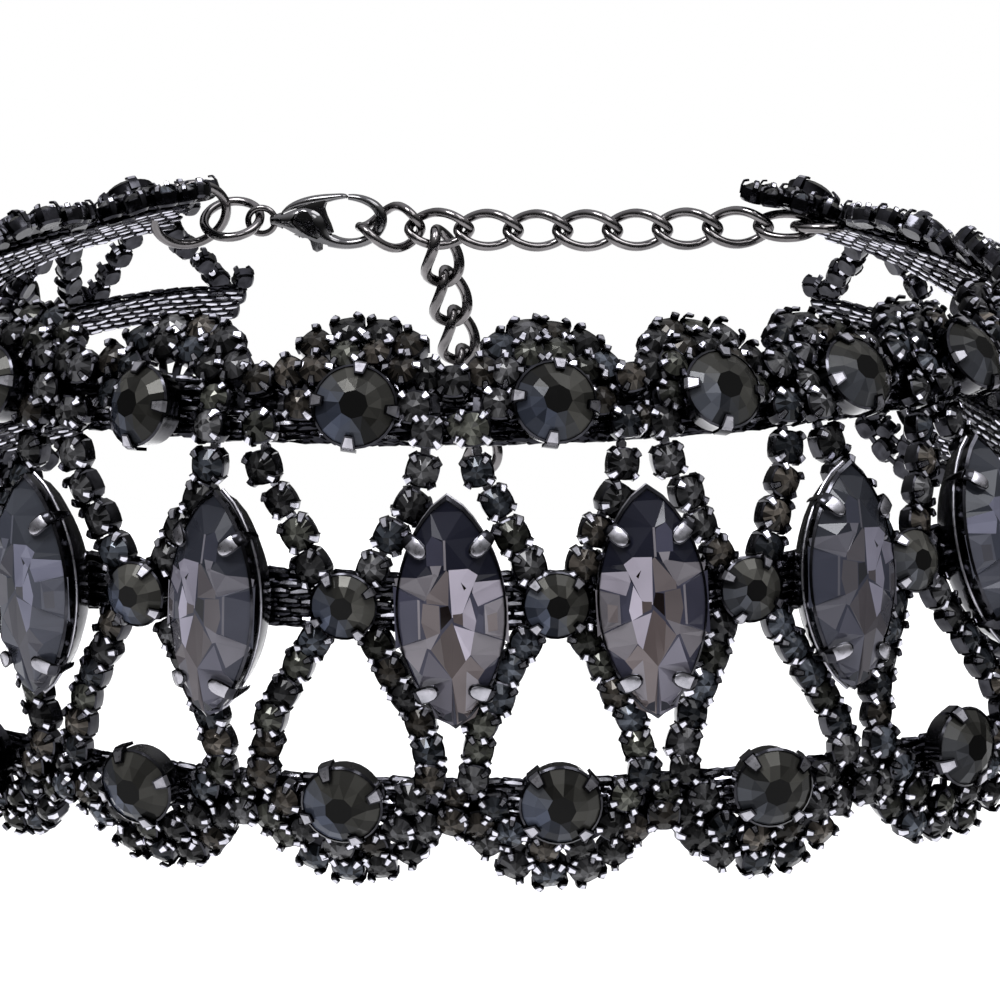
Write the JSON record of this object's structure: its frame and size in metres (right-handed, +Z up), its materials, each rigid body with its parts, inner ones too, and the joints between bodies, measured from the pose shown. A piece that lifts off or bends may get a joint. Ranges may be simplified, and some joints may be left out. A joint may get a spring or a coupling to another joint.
{
  "type": "rhinestone choker necklace",
  "caption": "Open-work choker of paved scallops and marquise stones on soft woven strips, closed by a lobster clasp on a chain.",
  "frame": {"origin": "middle of the neck, at the height of the band's middle strip", "axes": "+Z up along the neck, -Y towards the front of the band, +Y towards the clasp, +X to the right as seen from the front"},
  "size_m": [0.1098, 0.1076, 0.0426],
  "materials": {
    "band_metal": "gunmetal-plated cups and woven links set with smoky stones",
    "marquise_glass": "smoky foil-backed cut glass",
    "chain_metal": "polished gunmetal plating",
    "clasp_metal": "polished gunmetal plating"
  },
  "bodies": {
    "choker": {"band": "band_metal", "marquise_stone_01": "marquise_glass", "marquise_stone_02": "marquise_glass", "marquise_stone_03": "marquise_glass", "marquise_stone_04": "marquise_glass", "marquise_stone_05": "marquise_glass", "marquise_stone_06": "marquise_glass", "marquise_stone_07": "marquise_glass", "marquise_stone_08": "marquise_glass", "marquise_stone_09": "marquise_glass", "marquise_stone_10": "marquise_glass", "marquise_stone_11": "marquise_glass", "marquise_stone_12": "marquise_glass", "marquise_stone_13": "marquise_glass", "marquise_stone_14": "marquise_glass", "marquise_stone_15": "marquise_glass", "marquise_stone_16": "marquise_glass", "end_ring_left": "chain_metal", "end_ring_right": "chain_metal", "jump_ring": "chain_metal", "chain_link_01": "chain_metal", "chain_link_02": "chain_metal", "chain_link_03": "chain_metal", "chain_link_04": "chain_metal", "chain_link_05": "chain_metal", "chain_link_06": "chain_metal", "chain_link_07": "chain_metal", "chain_link_08": "chain_metal", "long_ring": "chain_metal", "tail_link_01": "chain_metal", "tail_link_02": "chain_metal", "tail_link_03": "chain_metal", "tail_link_04": "chain_metal", "tail_link_05": "chain_metal", "tail_link_06": "chain_metal", "clasp_body": "clasp_metal"},
    "clasp_lever": {"clasp_lever": "clasp_metal"}
  },
  "joints": [
    {"name": "clasp_lever_hinge", "type": "hinge", "parent": "choker", "child": "clasp_lever", "pos_m": [-0.01631, 0.04013, 0.01787], "axis": [0.1253, 0.9921, 0], "range_deg": [0, 20], "stiffness_Nm_per_rad": 0.002}
  ]
}
